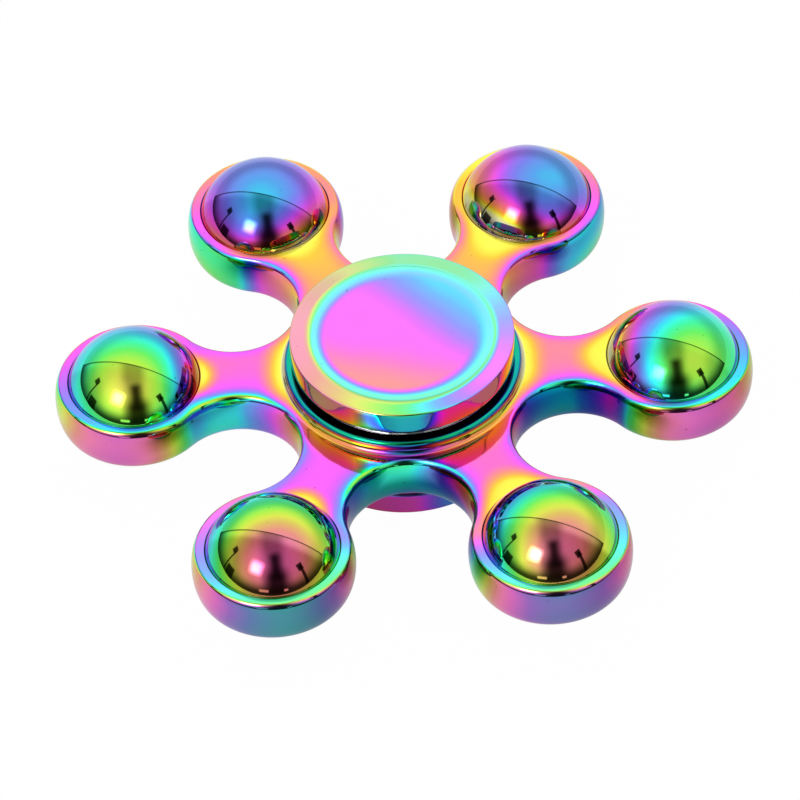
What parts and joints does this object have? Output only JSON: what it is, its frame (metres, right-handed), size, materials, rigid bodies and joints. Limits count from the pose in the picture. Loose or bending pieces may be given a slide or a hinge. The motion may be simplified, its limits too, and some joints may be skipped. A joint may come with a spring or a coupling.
{
  "type": "fidget spinner",
  "caption": "Fidget spinner: a rainbow-plated metal frame whose radiating arms each hold a captive metal ball, spinning on a shielded ball bearing between dished thumb caps.",
  "frame": {"origin": "centre of the bearing, on the spin axis at the middle of the part's height", "axes": "+Z along the spin axis towards the top thumb cap, +X along the first arm"},
  "size_m": [0.075, 0.0672, 0.0154],
  "materials": {
    "frame_film": "polished",
    "ball_film": "polished",
    "cap_film": "polished",
    "bearing_steel": "gloss",
    "cage_steel": "satin",
    "shield_steel": "satin"
  },
  "bodies": {
    "axle": {"top_cap": "cap_film", "bottom_cap": "cap_film", "bearing_inner_ring": "bearing_steel"},
    "rotor": {"frame_body": "frame_film", "weight_ball_1": "ball_film", "weight_ball_2": "ball_film", "weight_ball_3": "ball_film", "weight_ball_4": "ball_film", "weight_ball_5": "ball_film", "weight_ball_6": "ball_film", "bearing_outer_ring": "bearing_steel", "upper_shield": "shield_steel", "lower_shield": "shield_steel"},
    "cage": {"cage_upper": "cage_steel", "cage_lower": "cage_steel", "cage_rivet_1": "cage_steel", "cage_rivet_2": "cage_steel", "cage_rivet_3": "cage_steel", "cage_rivet_4": "cage_steel", "cage_rivet_5": "cage_steel", "cage_rivet_6": "cage_steel", "cage_rivet_7": "cage_steel"},
    "race_ball_1": {"bearing_ball_1": "bearing_steel"},
    "race_ball_2": {"bearing_ball_2": "bearing_steel"},
    "race_ball_3": {"bearing_ball_3": "bearing_steel"},
    "race_ball_4": {"bearing_ball_4": "bearing_steel"},
    "race_ball_5": {"bearing_ball_5": "bearing_steel"},
    "race_ball_6": {"bearing_ball_6": "bearing_steel"},
    "race_ball_7": {"bearing_ball_7": "bearing_steel"}
  },
  "joints": [
    {"name": "rotor_spin", "type": "hinge", "parent": "axle", "child": "rotor", "pos_m": [0, 0, 0], "axis": [0, 0, 1], "continuous": true},
    {"name": "cage_spin", "type": "hinge", "parent": "axle", "child": "cage", "pos_m": [0, 0, 0], "axis": [0, 0, 1], "continuous": true},
    {"name": "race_ball_1_roll", "type": "hinge", "parent": "cage", "child": "race_ball_1", "pos_m": [0.0075, 0, 0], "axis": [0, 0, 1], "continuous": true},
    {"name": "race_ball_2_roll", "type": "hinge", "parent": "cage", "child": "race_ball_2", "pos_m": [0.00468, 0.00586, 0], "axis": [0, 0, 1], "continuous": true},
    {"name": "race_ball_3_roll", "type": "hinge", "parent": "cage", "child": "race_ball_3", "pos_m": [-0.00167, 0.00731, 0], "axis": [0, 0, 1], "continuous": true},
    {"name": "race_ball_4_roll", "type": "hinge", "parent": "cage", "child": "race_ball_4", "pos_m": [-0.00676, 0.00325, 0], "axis": [0, 0, 1], "continuous": true},
    {"name": "race_ball_5_roll", "type": "hinge", "parent": "cage", "child": "race_ball_5", "pos_m": [-0.00676, -0.00325, 0], "axis": [0, 0, 1], "continuous": true},
    {"name": "race_ball_6_roll", "type": "hinge", "parent": "cage", "child": "race_ball_6", "pos_m": [-0.00167, -0.00731, 0], "axis": [0, 0, 1], "continuous": true},
    {"name": "race_ball_7_roll", "type": "hinge", "parent": "cage", "child": "race_ball_7", "pos_m": [0.00468, -0.00586, 0], "axis": [0, 0, 1], "continuous": true}
  ],
  "couplings": [
    {"joint": "cage_spin", "follows": "rotor_spin", "ratio": 0.6323},
    {"joint": "race_ball_1_roll", "follows": "rotor_spin", "ratio": 1.7573},
    {"joint": "race_ball_2_roll", "follows": "rotor_spin", "ratio": 1.7573},
    {"joint": "race_ball_3_roll", "follows": "rotor_spin", "ratio": 1.7573},
    {"joint": "race_ball_4_roll", "follows": "rotor_spin", "ratio": 1.7573},
    {"joint": "race_ball_5_roll", "follows": "rotor_spin", "ratio": 1.7573},
    {"joint": "race_ball_6_roll", "follows": "rotor_spin", "ratio": 1.7573},
    {"joint": "race_ball_7_roll", "follows": "rotor_spin", "ratio": 1.7573}
  ]
}
